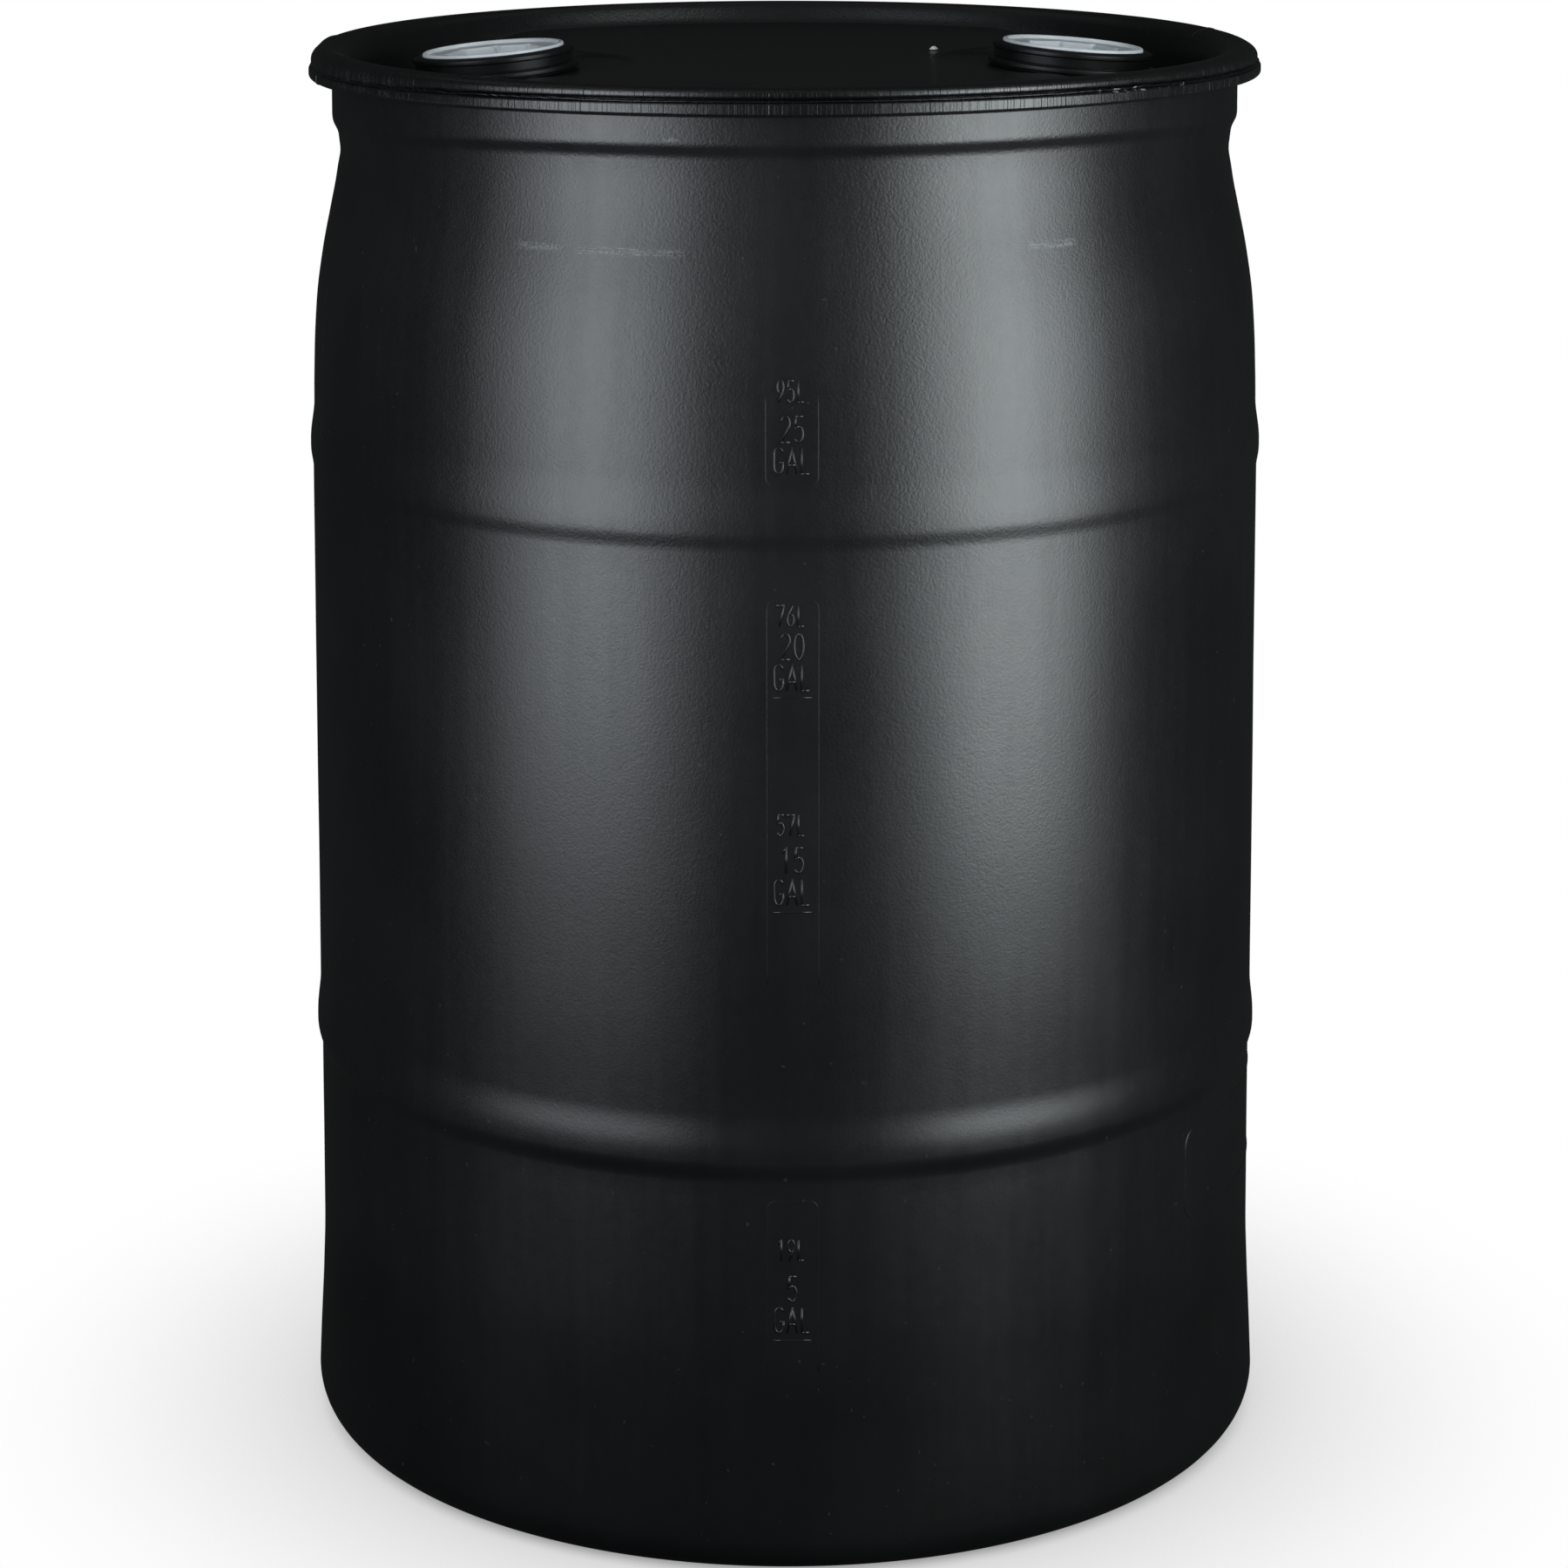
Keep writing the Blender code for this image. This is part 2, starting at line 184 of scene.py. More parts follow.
def merge(*parts):
    verts, faces = [], []
    for v, f in parts:
        o = sum(len(x) for x in verts)
        verts.append(v)
        faces += [tuple(i + o for i in q) for q in f]
    return np.concatenate(verts), faces


def bake(obj):
    """Apply the modifiers, so that the mesh itself is what shows."""
    dg = bpy.context.evaluated_depsgraph_get()
    mesh = bpy.data.meshes.new_from_object(obj.evaluated_get(dg))
    obj.modifiers.clear()
    old = obj.data
    obj.data = mesh
    bpy.data.meshes.remove(old)
    return obj


# ============================================================ shape of shell
def side_profile():
    """Outer wall from under the rim to the standing ring, as (radius, height)."""
    pts = [(246.0, 800.0)]
    zs = [p[1] for p in SHOULDER][::-1]
    rs = [p[0] for p in SHOULDER][::-1]
    zs = [HOOPS[0][0] + HOOP_UP + 1.5] + zs + [WAIST[1]]
    rs = [HOOPS[0][2]] + rs + [WAIST[0]]
    zs, rs = np.array(zs), np.array(rs)
    # monotone cubic through the shoulder stations
    h, d = np.diff(zs), np.diff(rs) / np.diff(zs)
    m = np.zeros(len(zs))
    for i in range(1, len(zs) - 1):
        if d[i - 1] * d[i] > 0:
            w1, w2 = 2 * h[i] + h[i - 1], h[i] + 2 * h[i - 1]
            m[i] = (w1 + w2) / (w1 / d[i - 1] + w2 / d[i])
    m[-1] = d[-1]

    def shoulder(z):
        i = int(np.clip(np.searchsorted(zs, z) - 1, 0, len(zs) - 2))
        t = (z - zs[i]) / h[i]
        return ((1 + 2 * t) * (1 - t) ** 2 * rs[i] + t * (1 - t) ** 2 * h[i] * m[i]
                + t * t * (3 - 2 * t) * rs[i + 1] + t * t * (t - 1) * h[i] * m[i + 1])

    pts = [(float(shoulder(z)), float(z)) for z in np.arange(WAIST[1] - 5.0, zs[0] + 2.0, -4.6)]
    lower = {0: 1, 1: None}
    for k, (z, crest, above, below) in enumerate(HOOPS):
        for t in np.linspace(1, 0, 11):
            ease = (1 - math.cos(math.pi * (1 - t))) / 2
            pts.append((above + (crest - above) * ease, z + HOOP_UP * t + 1.5))
        for t in np.linspace(0, 1, 8):
            ease = (1 - math.cos(math.pi * t)) / 2
            pts.append((crest + (below - crest) * ease, z - 1.5 - HOOP_DOWN * t))
        if lower[k]:
            a, b = pts[-1], (HOOPS[1][2], HOOPS[1][0] + HOOP_UP + 1.5)
            count = 22
            for i in range(1, count):
                t = i / count
                pts.append((a[0] + (b[0] - a[0]) * float(smooth(0, 1, t)), a[1] + (b[1] - a[1]) * t))
    foot = [(LOWER_R, pts[-1][1]), (LOWER_R, 150.0), (LOWER_R + 0.1, 92.0), (LOWER_R + 1.2, 63.0),
            (FOOT_R - 0.8, 35.0), (FOOT_R, 16.0)]
    fz, fr = [p[1] for p in foot][::-1], [p[0] for p in foot][::-1]
    for z in np.arange(pts[-1][1] - 8.0, 22.0, -8.0):
        pts.append((float(np.interp(z, fz, fr)), float(z)))
    for k in range(11):
        t = math.pi / 2 * k / 10
        pts.append((FOOT_R - 12.0 + 12.0 * math.cos(t), 16.0 - 16.0 * math.sin(t)))
    return pts


def wall_radius(z):
    """Outer radius of the wall at a height, for things that lie on it."""
    return np.interp(z, WALL_Z, WALL_RR)


SIDE = side_profile()
WALL_Z = np.array([p[1] for p in SIDE][::-1])
WALL_RR = np.array([p[0] for p in SIDE][::-1])

# rim: rounded inner edge, an oval roll, the groove of the moulding line, the band
RIM = fillet([(CROWN_R_IN - 8.0, TOTAL_H - 8.0 * 11.5 / 6.0), (CROWN_R_IN, TOTAL_H), (233.0, TOTAL_H)],
             [0, 6.0, 0], 6)[1:-1]
RIM += [(ROLL_R - 9.0 + 9.0 * math.sin(t * math.pi / 24), 710.9 + 4.1 * math.cos(t * math.pi / 24))
        for t in range(13)]
RIM += [(ROLL_R - 1.7 + 1.7 * math.cos(t * math.pi / 12), 710.9 - 2.3 * math.sin(t * math.pi / 12))
        for t in range(1, 6)]
RIM += fillet([RIM[-1], (239.9, 708.4), (243.4, 707.6), (RIM_R, 706.9), (RIM_R, BAND_Z),
               (NECK_R, BAND_Z - 1.3), (NECK_R, NECK_Z), WAIST, (WAIST[0] - 0.5, WAIST[1] - 4.8)],
              [0, 0.15, 0.5, 1.1, 1.5, 1.2, 9.0, 12.0, 0], 6)[1:-1]


def sag(phi, z):
    """The waist under the rim dips towards the parting line of the mould, mm."""
    near = np.abs(np.cos(phi - math.radians(4.0))) ** 4.7
    return z - 10.5 * near * smooth(648, 678, z) * (1 - smooth(687, 701, z))


def rim_shift(phi, r, z):
    """The rim is not quite flat: it sags at the parting line and its roll is thinner between, mm."""
    side = np.abs(np.cos(phi - math.radians(6.0))) ** 3
    low = side * (1.0 - 0.2 * np.cos(phi))
    if (r < 230.0 and z > 690.0) or (r < 236.0 and z > 712.0):
        return -2.0 * low * smooth(222.0, 228.0, r) * (1 - smooth(229.0, 236.0, r))
    drop = 3.0 * low * np.clip((714.0 - z) / 4.5, 0, 1) * smooth(688.0, 700.0, z)
    rise = 1.2 * (1 - side) * smooth(703.4, 706.5, z) * (1 - smooth(712.0, 715.0, z))
    return rise - drop


def head_height(x, y):
    """The head inside the rim: centre panel, and a basin and crescent well at each bung."""
    r = np.hypot(x, y)
    z = PANEL_Z + 0.6 * (1 - np.clip(r / PANEL_R, 0, 1) ** 2)
    for side in SIDES.values():
        sx = side * x
        seat = BUNG_Z - (sx - BUNG_X) * math.tan(TILT)
        rho = np.hypot((sx - BUNG_X) / math.cos(TILT), y)
        basin = seat + np.clip(rho - 70.0, 0, None) * 1.0
        trench = PANEL_Z - (sx - 134.0) * math.tan(math.radians(14.0))
        boss = seat + (50.0 - rho) / 0.8
        well = smax(trench, boss, 2.0)
        z = smin(z, basin, 2.2)
        z = np.where(sx > 90.0, smin(z, well, 1.8), z)
    lip = np.where(r < PANEL_R, (r - PANEL_R) * 5.0, (r - PANEL_R) * 11.5 / 6.0) + PANEL_Z
    return smax(z, lip, 2.6)


N = 320
PHI = circle(N)


def ripple(phi, z):
    """Slight unevenness of a blow-moulded wall, mm."""
    return (0.10 * np.sin(3 * phi + z / 61.0 + 0.7) * np.sin(2 * phi - z / 93.0 + 2.1)
            + 0.07 * np.sin(7 * phi - z / 43.0 + 1.3) * np.sin(5 * phi + z / 57.0)
            + 0.035 * np.sin(17 * phi + z / 27.0 + 4.0) * np.sin(11 * phi - z / 22.0 + 0.4))


def outer_shell():
    phi = PHI
    radii = np.concatenate([np.linspace(8, 56, 6), np.arange(60, 214.5, 2.6), np.arange(215.5, 226.4, 0.85)])
    radii = radii[radii < RIM[0][0] - 0.4]
    rings = []
    for r in radii:
        x, y = r * np.cos(phi), r * np.sin(phi)
        rings.append(np.stack([x, y, head_height(x, y)], 1))
    prof = []
    for r, z in RIM + SIDE:
        fade = float(smooth(16, 60, z)) * (1 - float(smooth(660, 690, z)))
        lump = 0.8 * np.exp(-((phi - math.radians(171.5)) / 0.035) ** 2) if r > 236 and z > 711 else 0.0
        # the groove under the roll closes up towards the parting line
        fill = 0.0
        if 236.0 < r < 244.0 and z > 706.0:
            fill = (244.0 - r) * np.abs(np.cos(phi - math.radians(6.0))) ** 6 * (1 - smooth(710.5, 714.5, z))
        prof.append((r + fill + ripple(phi, z) * fade, sag(phi, z) + lump + rim_shift(phi, r, z)))
    base = fillet([(FOOT_R - 12.0, 0.0), (RING_R_IN, 0.0), (RING_R_IN - 9.0, RECESS_H),
                   (60.0, RECESS_H + 0.7)], [0, 3.0, 4.0, 0], 3)[1:]
    prof += [(rr, zz) for rr, zz in base]
    rings += rings_of(prof, phi)
    return loft(rings, "fan", "fan")


def inner_shell():
    """The inside of the wall, seen through an open neck."""
    n = 160
    phi = circle(n)
    rings = []
    for r in np.concatenate([np.linspace(10, 60, 5), np.arange(66, 217, 4.5), [218.5]]):
        x, y = r * np.cos(phi), r * np.sin(phi)
        rings.append(np.stack([x, y, np.minimum(head_height(x, y), PANEL_Z + 1.0) - WALL - 0.3], 1))
    prof = [(224.6, np.full(n, 686.0)), (225.8, 676.0)]
    prof += [(r - WALL, z) for r, z in SIDE[::3] if 26.0 < z < 672.0]
    for k in range(6):
        t = math.pi / 2 * k / 5
        prof.append((FOOT_R - 12.0 + (12.0 - WALL) * math.cos(t), 16.0 - (16.0 - WALL) * math.sin(t)))
    prof += [(RING_R_IN - 1.0, WALL), (RING_R_IN - 11.0, RECESS_H + WALL), (50.0, RECESS_H + WALL + 0.7)]
    rings += rings_of(prof, phi)
    return loft(rings, "fan", "fan", flip=True)


def axis_matrix(side):
    return (Matrix.Translation((side * BUNG_X * MM, 0, BUNG_Z * MM))
            @ Matrix.Rotation(side * TILT, 4, 'Y'))


shell = new_object("drum_shell", *merge(outer_shell(), inner_shell()))
for name, side in SIDES.items():
    phi = circle(72)
    v, f = loft(rings_of([(NECK_HOLE_R, 26.0), (NECK_HOLE_R, -30.0)], phi), "fan", "fan")
    hole = new_object("cut_" + name, v, f)
    hole.data.transform(axis_matrix(side))
    mod = shell.modifiers.new("hole", 'BOOLEAN')
    mod.operation, mod.solver, mod.object = 'DIFFERENCE', 'EXACT', hole
bake(shell)
for name in SIDES:
    bpy.data.objects.remove(bpy.data.objects["cut_" + name], do_unlink=True)
shell.data.polygons.foreach_set("use_smooth", np.ones(len(shell.data.polygons), bool))
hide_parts("drum_body")
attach(shell, "drum")


# ======================================================== raised line relief
def ridge(path, width, height, sink=0.25, closed=False):
    """A raised line on the wall. path holds (arc, z) in mm about the scale's middle;
    the section is a low rounded trapezoid, its foot sunk in the wall."""
    p = np.asarray(path, float)
    n = len(p)
    if closed:
        before, after = np.roll(p, 1, 0), np.roll(p, -1, 0)
    else:
        before, after = np.vstack([p[:1], p[:-1]]), np.vstack([p[1:], p[-1:]])
    a = p - before
    b = after - p
    la = np.linalg.norm(a, axis=1, keepdims=True)
    lb = np.linalg.norm(b, axis=1, keepdims=True)
    a = np.where(la > 1e-9, a / np.maximum(la, 1e-9), b / np.maximum(lb, 1e-9))
    b = np.where(lb > 1e-9, b / np.maximum(lb, 1e-9), a)
    t = a + b
    t /= np.maximum(np.linalg.norm(t, axis=1, keepdims=True), 1e-9)
    nrm = np.stack([-t[:, 1], t[:, 0]], 1)
    mitre = 1.0 / np.clip((nrm * np.stack([-a[:, 1], a[:, 0]], 1)).sum(1), 0.5, 1.0)
    section = [(-0.5, -sink), (-0.5, 0.0), (-0.34, 0.62 * height), (-0.16, 0.95 * height),
               (0.16, 0.95 * height), (0.34, 0.62 * height), (0.5, 0.0), (0.5, -sink)]
    m = len(section)
    pts = np.zeros((n, m, 3))
    for k, (s, h) in enumerate(section):
        q = p + nrm * (s * width * mitre)[:, None]
        pts[:, k, 0], pts[:, k, 1], pts[:, k, 2] = q[:, 0], q[:, 1], h
    verts = pts.reshape(-1, 3)
    faces = []
    for i in range(n if closed else n - 1):
        for k in range(m):
            a0, b0 = i * m, ((i + 1) % n) * m
            faces.append((a0 + k, b0 + k, b0 + (k + 1) % m, a0 + (k + 1) % m))
    if not closed:
        faces.append(tuple(range(m)))
        faces.append(tuple((n - 1) * m + k for k in range(m - 1, -1, -1)))
    return verts, faces


def on_wall(flat, az):
    """Wrap (arc, z, height) points on the wall about an azimuth."""
    v, f = flat
    r0 = wall_radius(v[:, 1])
    phi = az + v[:, 0] / r0
    z = v[:, 1]
    fade = smooth(16, 60, z) * (1 - smooth(660, 690, z))
    r = r0 + ripple(phi, z) * fade + v[:, 2]
    return np.stack([r * np.cos(phi), r * np.sin(phi), z], 1), f


def arc(cx, cy, rx, ry, a0, a1, n=8):
    return [(cx + rx * math.cos(math.radians(a0 + (a1 - a0) * k / n)),
             cy + ry * math.sin(math.radians(a0 + (a1 - a0) * k / n))) for k in range(n + 1)]


# One-stroke numerals and letters in a unit box, 1 wide and 1 tall, y up.
GLYPHS = {
    "0": [arc(0.5, 0.5, 0.42, 0.5, 90, 450, 22)[:-1] + [(0.5, 1.0)]],
    "1": [[(0.22, 0.80), (0.55, 1.0), (0.55, 0.0)]],
    "2": [arc(0.5, 0.73, 0.40, 0.27, 165, -25, 9) + [(0.08, 0.0), (0.92, 0.0)]],
    "5": [[(0.90, 1.0), (0.22, 1.0), (0.14, 0.56)] + arc(0.48, 0.31, 0.40, 0.31, 118, -150, 11)],
    "6": [[(0.72, 1.0), (0.30, 0.62)] + arc(0.48, 0.29, 0.38, 0.29, 140, 490, 18)],
    "7": [[(0.06, 0.90), (0.06, 1.0), (0.92, 1.0), (0.40, 0.0)]],
    "9": [[(0.28, 0.0), (0.70, 0.38)] + arc(0.52, 0.71, 0.38, 0.29, -40, 310, 18)],
    "L": [[(0.16, 1.0), (0.16, 0.0), (0.86, 0.0)]],
    "G": [arc(0.52, 0.74, 0.40, 0.26, 25, 180, 7) + arc(0.52, 0.26, 0.40, 0.26, 180, 360, 8)
          + [(0.92, 0.44), (0.56, 0.44)]],
    "A": [[(0.04, 0.0), (0.50, 1.0), (0.96, 0.0)], [(0.20, 0.34), (0.80, 0.34)]],
}


def strokes(path, width):
    """Cut a stroke at its sharp corners; the pieces overlap there."""
    p = [np.array(q, float) for q in path]
    runs, start = [], 0
    for i in range(1, len(p) - 1):
        a, b = p[i] - p[i - 1], p[i + 1] - p[i]
        turn = abs(math.atan2(a[0] * b[1] - a[1] * b[0], float(a @ b)))
        if turn > math.radians(42.0):
            runs.append(p[start:i + 1])
            start = i
    runs.append(p[start:])
    for k, run in enumerate(runs):
        if k:
            d = run[0] - run[1]
            run = [run[0] + d / np.linalg.norm(d) * 0.40 * width] + run[1:]
        if k < len(runs) - 1:
            d = run[-1] - run[-2]
            run = run[:-1] + [run[-1] + d / np.linalg.norm(d) * 0.40 * width]
        runs[k] = run
    return runs


def text(word, left, base, height, cell, gap, width, lift):
    out, x = [], left
    for ch in word:
        for stroke in GLYPHS[ch]:
            for run in strokes([(x + a * cell, base + b * height) for a, b in stroke], width):
                out.append(ridge(run, width, lift))
        x += cell + gap
    return out


def word_width(word, cell, gap):
    return len(word) * cell + (len(word) - 1) * gap


def outline(left, right, low, high, r, width, lift, open_top=None, open_low=None):
    """A rounded frame; with open_top or open_low its sides run on to that height."""
    if open_top is not None:
        path = ([(left, open_top)] + arc(left + r, low + r, r, r, 180, 270, 6)
                + arc(right - r, low + r, r, r, 270, 360, 6) + [(right, open_top)])
        closed = False
    elif open_low is not None:
        path = ([(left, open_low)] + arc(left + r, high - r, r, r, 180, 90, 6)
                + arc(right - r, high - r, r, r, 90, 0, 6) + [(right, open_low)])
        closed = False
    else:
        path = (arc(left + r, low + r, r, r, 180, 270, 6) + arc(right - r, low + r, r, r, 270, 360, 6)
                + arc(right - r, high - r, r, r, 0, 90, 6) + arc(left + r, high - r, r, r, 90, 180, 6))
        closed = True
    dense = []
    count = len(path) if closed else len(path) - 1
    for i in range(count):
        a, b = np.array(path[i]), np.array(path[(i + 1) % len(path)])
        k = max(1, int(np.linalg.norm(b - a) / 5.0))
        for s in range(k):
            dense.append(tuple(a + (b - a) * s / k))
    if not closed:
        dense.append(path[-1])
    return [ridge(dense, width, lift, closed=closed)]


# Four blocks: litres over gallons; heights of the three baselines and the underline.
BLOCKS = [("95", 568.7, "25", 549.8, 535.0, None),
          ("76", 462.7, "20", 446.9, 432.0, 428.6),
          ("57", 362.4, "15", 344.3, 328.8, 325.3),
          ("19", 155.0, "5", 134.8, 119.4, 115.7)]
relief = []
for litres, z_l, gallons, z_n, z_g, line in BLOCKS:
    lift = 0.42 if z_l > 300.0 else 0.26
    w = word_width(litres + "L", 3.9, 0.95)
    relief += text(litres + "L", -w / 2 - 0.5, z_l, 10.0, 3.9, 0.95, 0.95, lift)
    w = word_width(gallons, 5.1, 1.2)
    relief += text(gallons, -w / 2 + 0.2, z_n, 12.2, 5.1, 1.2, 1.0, lift)
    relief += text("GAL", -8.9, z_g, 12.2, 5.2, 1.15, 1.0, lift)
    if line:
        relief.append(ridge([(-9.4, line), (-4.0, line), (4.0, line), (9.4, line)], 0.7, 0.3))
relief += outline(-12.3, 12.4, 528.9, 600.0, 4.2, 0.40, 0.03, open_top=572.0)
relief += outline(-11.8, 12.6, 474.8, 474.8, 4.2, 0.40, 0.02, open_low=290.0)
relief += outline(-11.8, 12.4, 100.0, 184.1, 4.2, 0.40, 0.03, open_low=100.0)
scale = new_object("volume_scale", *on_wall(merge(*relief), SCALE_AZ))
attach(scale, "drum")

# a blank marking panel low on the side, and a larger one at the back
panel = on_wall(merge(*outline(-71.0, 71.0, 134.6, 181.0, 9.0, 0.8, 0.34)), math.radians(-22.4))
opposite = on_wall(merge(*outline(-60.0, 60.0, 300.0, 420.0, 10.0, 0.7, 0.24)), math.radians(88.0))


def seam(az, start, stop):
    """Mould parting line: over the rim's profile and down the wall."""
    prof = [(r, z) for r, z in RIM if start > z > stop or z > 700] + \
           [(r, z) for r, z in SIDE if stop < z < WAIST[1] - 2.5]
    inner = [(CROWN_R_IN - 5.4, TOTAL_H - 5.4 * 11.5 / 6.0), (CROWN_R_IN - 3.2, TOTAL_H - 3.2 * 11.5 / 6.0)]
    prof = np.array([(r, float(sag(az, z) + rim_shift(az, r, z))) for r, z in inner + prof])
    tangent = np.gradient(prof, axis=0)
    tangent /= np.linalg.norm(tangent, axis=1, keepdims=True)
    normal = np.stack([-tangent[:, 1], tangent[:, 0]], 1)
    height = np.where(prof[:, 1] > 697, 0.28, np.where(prof[:, 1] > 600, -0.06, 0.022))
    half = np.where(prof[:, 1] > 697, 0.55, 0.35)
    section = [(-1.0, -0.25), (-1.0, 0.0), (-0.35, 1.0), (0.35, 1.0), (1.0, 0.0), (1.0, -0.25)]
    rings = []
    for (r, z), nn, h, w in zip(prof, normal, height, half):
        row = []
        for s, k in section:
            lift = h * k if k > 0 else k
            rr, zz = r + nn[0] * lift, z + nn[1] * lift
            fade = float(smooth(16, 60, zz)) * (1 - float(smooth(660, 690, zz)))
            rr += float(ripple(az, zz)) * fade
            a = az + s * w / r
            row.append((rr * math.cos(a), rr * math.sin(a), zz))
        rings.append(row)
    m = len(section)
    verts = np.array(rings).reshape(-1, 3)
    faces = []
    for i in range(len(rings) - 1):
        for k in range(m):
            faces.append((i * m + k, i * m + (k + 1) % m, (i + 1) * m + (k + 1) % m, (i + 1) * m + k))
    faces.append(tuple(range(m - 1, -1, -1)))
    faces.append(tuple((len(rings) - 1) * m + k for k in range(m)))
    return verts, faces


# a pale crumb of trimmed plastic left on the head
CRUMB = (82.6, 47.2)
phi = circle(14)
crumb = loft([np.stack([CRUMB[0] + r * np.cos(phi) * (1 + 0.25 * np.sin(2 * phi)),
                        CRUMB[1] + 0.7 * r * np.sin(phi), np.full(14, z)], 1)
              for r, z in ((2.0, 703.2), (2.2, 704.6), (1.9, 705.4), (1.2, 706.0), (0.5, 706.3))], "fan", "fan", flip=True)
seams = [seam(a, 716.0, 20.0) for a in PART_AZ]
parting = new_object("mould_lines", *merge(panel, opposite, crumb, *seams))
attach(parting, "drum")


# ==================================================== ragged flash on the rim
def rim_flash():
    n = 1536
    phi = circle(n)

    def near(deg, width):
        d = (phi - math.radians(deg) + math.pi) % TAU - math.pi
        return np.exp(-(d / math.radians(width)) ** 2)

    ragged = (0.25 + 0.9 * near(-146, 9) + 0.5 * near(-128, 12) + 1.0 * near(-48, 6) + 0.6 * near(60, 12)
              + 0.5 * near(128, 20) + 0.8 * near(187, 2.5))
    coarse = ring_noise(phi, 3, 110)
    mid = ring_noise(phi, 4, 260)
    fine = ring_noise(phi, 5, 620)
    tip_r = 244.45 + 0.35 * (coarse - 0.5) + ragged * (0.75 * (mid - 0.40) + 0.45 * (fine - 0.5))
    tip_z = 707.95 + 0.2 * (mid - 0.5) + ragged * (1.3 * (coarse - 0.4) + 0.7 * (fine - 0.4))
    tip_r = np.clip(tip_r, 242.4, 246.0)
    thick = 0.34 + 0.18 * fine
    prof = [(239.5, 708.5), (242.0, tip_z * 0.4 + 708.5 * 0.6), (tip_r - 0.35, tip_z + thick * 0.5),
            (tip_r, tip_z), (tip_r - 0.3, tip_z - thick * 0.5), (243.0, 707.6), (242.0, 707.2), (239.5, 707.2)]
    prof = [(r, z + rim_shift(phi, 240.0, z)) for r, z in prof]
    return loft(rings_of(prof, phi), loop=True)


flash = new_object("rim_flash", *rim_flash())
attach(flash, "drum")


# ====================================================== necks, seals, plugs
def thread(phi, t, pitch, shift):
    """0 in a groove, 1 on the crest of a right-hand helix."""
    u = (t / pitch - phi / TAU + shift) % 1.0
    d = np.abs(u - 0.5)
    return 1.0 - smooth(0.14, 0.22, d)


def neck(name, side):
    pitch, crest, root = THREADS[name][:3]
    n = 160
    phi = circle(n)
    outer = fillet([(37.1, 10.6), (37.1, 13.2), (38.9, 13.1), (41.5, 11.9), (41.5, 9.9), (40.6, 9.4), (40.6, 5.4),
                    (40.2, 4.9), (42.0, 4.7), (43.6, 4.3), (43.6, 2.0), (42.0, 1.5), (42.0, 0.3), (34.0, 0.3),
                    (34.0, -4.6), (40.0, -4.6), (40.0, -7.4), (34.0, -8.4), (33.5, -16.0),
                    (root + 0.9, -16.0), (root, -15.2)],
                   [0, 0.35, 0.8, 0.7, 0.35, 0.3, 0.25, 0.15, 0, 0.8, 0.4, 0.3, 0, 0, 0, 0, 0.5, 0, 0.4, 0, 0], 4)
    prof = [(r, t) for r, t in outer]
    for t in np.arange(-14.8, 7.31, pitch / 9.0 if pitch < 3 else 0.42):
        window = smooth(-14.8, -13.2, t) * (1 - smooth(5.9, 7.3, t))
        # the helix starts and ends as a tapered run-out
        prof.append((root - (root - crest) * thread(phi, t, pitch, 0.0) * window, t))
    prof += fillet([(root, 7.8), (root + 0.7, 8.7), (37.1, 8.7), (37.1, 10.6)], [0, 0.2, 0.25, 0], 3)[:-1]
    v, f = loft(rings_of(prof, phi), loop=True)
    obj = new_object(name + "_neck_insert", v, f)
    obj.data.transform(axis_matrix(side))
    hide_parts(name + "_neck")
    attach(obj, "drum")
    return obj


def octagon(phi, start):
    """Outline of the wrench pocket: eight flats with a groove down each corner."""
    q = (phi - start + math.pi / 8) % (math.pi / 4) - math.pi / 8
    r = 22.5 / np.cos(q)
    corner = math.pi / 8 - np.abs(q)
    groove = 1.0 - smooth(math.radians(1.9), math.radians(4.4), corner)
    return r + 1.15 * groove


def plug(name, side):
    pitch, _c, _r, root, crest, bore = THREADS[name]
    n = 288
    phi = circle(n)
    o = octagon(phi, math.radians(18.5 if side < 0 else 31.5))   # how far each is screwed in
    prof = [(8.0, 4.15), (14.0, 3.85), (o - 3.0, 3.7), (o - 0.9, 3.7), (o - 0.3, 3.82), (o - 0.05, 4.2)]
    prof += [(o, t) for t in (5.1, 6.7, 8.3, 9.9, 11.3)]
    prof += [(o + 0.04, 11.95), (o + 0.18, 12.3), (o + 0.42, 12.56), (o + 0.8, 12.7)]
    for k in (0.25, 0.5, 0.75, 1.0):
        prof.append(((o + 0.8) * (1 - k) + 33.0 * k, 12.7 - 0.12 * math.sin(math.pi * k)))
    prof += fillet([(33.0, 12.7), (33.75, 12.7), (34.05, 14.5), (36.4, 14.5), (36.4, 10.6),
                    (root + 1.2, 10.6), (root, 9.9)], [0, 0.45, 0.55, 0.95, 0.3, 0.3, 0], 5)[1:]
    for t in np.arange(9.3, -9.3, -(pitch / 9.0 if pitch < 3 else 0.42)):
        window = smooth(-9.3, -7.5, t) * (1 - smooth(7.1, 9.1, t))
        prof.append((root + (crest - root) * thread(phi, t, pitch, 0.5) * window, t))
    prof += [(root, -9.5), (root - 0.5, -10.1), (root - 0.9, -10.3), (bore + 0.4, -10.3), (bore, -10.0),
             (bore, -4.3), (bore, -0.1), (bore - 0.8, 0.7), (12.0, 0.7)]
    v, f = loft(rings_of(prof, phi), "fan", "fan")
    obj = new_object(name + "_plug_moulded", v, f)
    obj.data.transform(axis_matrix(side))
    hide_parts(name + "_plug")
    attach(obj, name + "_closure")
    return obj


